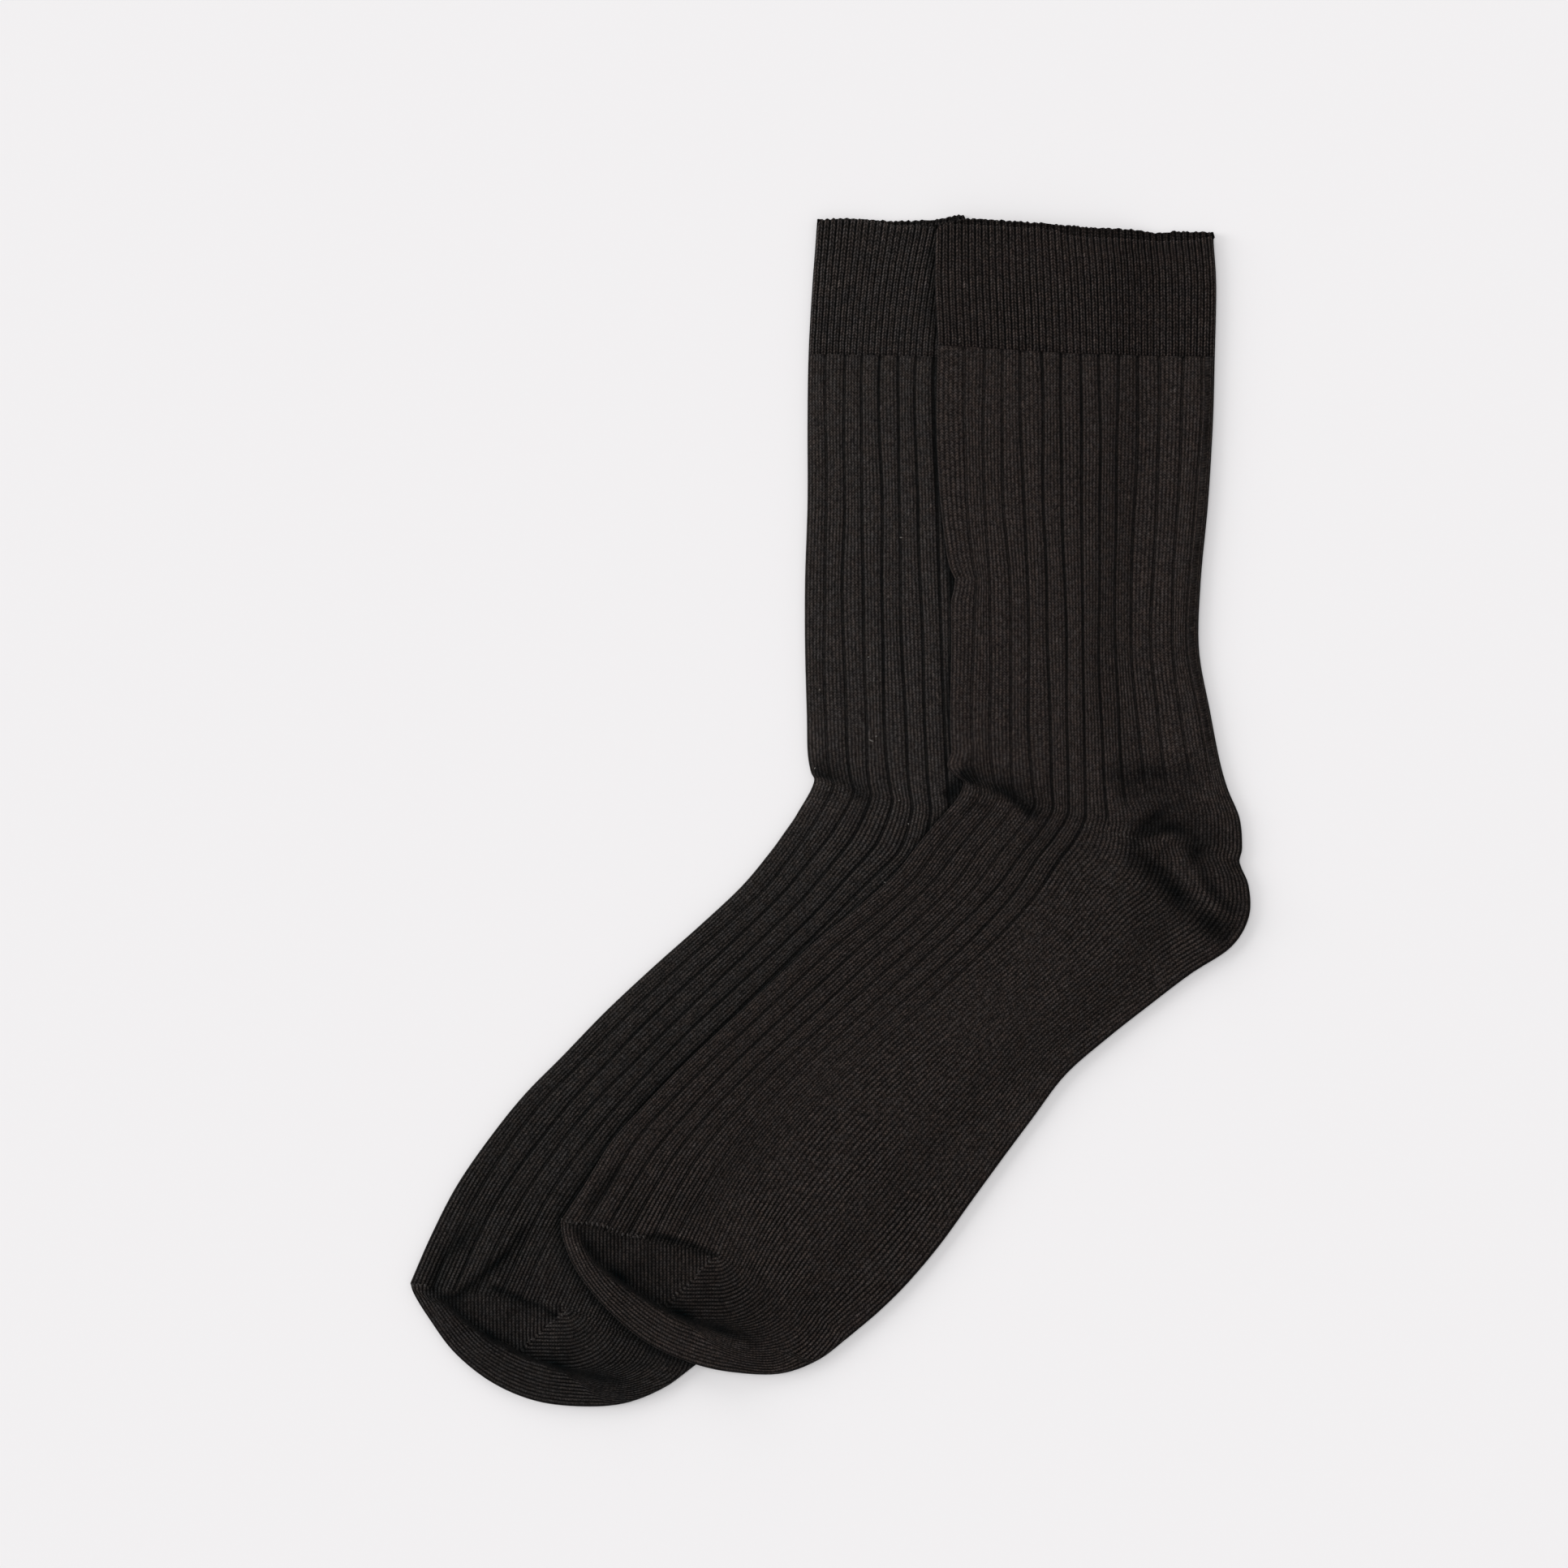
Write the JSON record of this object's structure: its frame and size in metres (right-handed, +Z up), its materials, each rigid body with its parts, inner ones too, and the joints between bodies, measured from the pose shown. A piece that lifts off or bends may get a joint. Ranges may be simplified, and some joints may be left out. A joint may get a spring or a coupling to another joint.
{
  "type": "pair of socks",
  "caption": "Ankle-length ribbed socks laid flat on their sides, one half over the other, with fine-ribbed cuffs, ribbed legs and insteps, plain heels and soles and pocket toes.",
  "frame": {"origin": "middle of the base of the bounding box of both socks, on the surface that they lie on", "axes": "+Z up from the surface, +Y along the legs from the toes to the cuffs, +X across from the toes to the heels"},
  "size_m": [0.2398, 0.3396, 0.0079],
  "materials": {
    "under_cuff": "fine-gauge knitted cotton, matt",
    "under_body": "ribbed and plain knitted cotton, matt",
    "top_cuff": "fine-gauge knitted cotton, matt",
    "top_body": "ribbed and plain knitted cotton, matt"
  },
  "bodies": {
    "root": {"under_sock_cuff": "under_cuff", "under_sock_body": "under_body", "top_sock_cuff": "top_cuff", "top_sock_body": "top_body"}
  },
  "joints": []
}
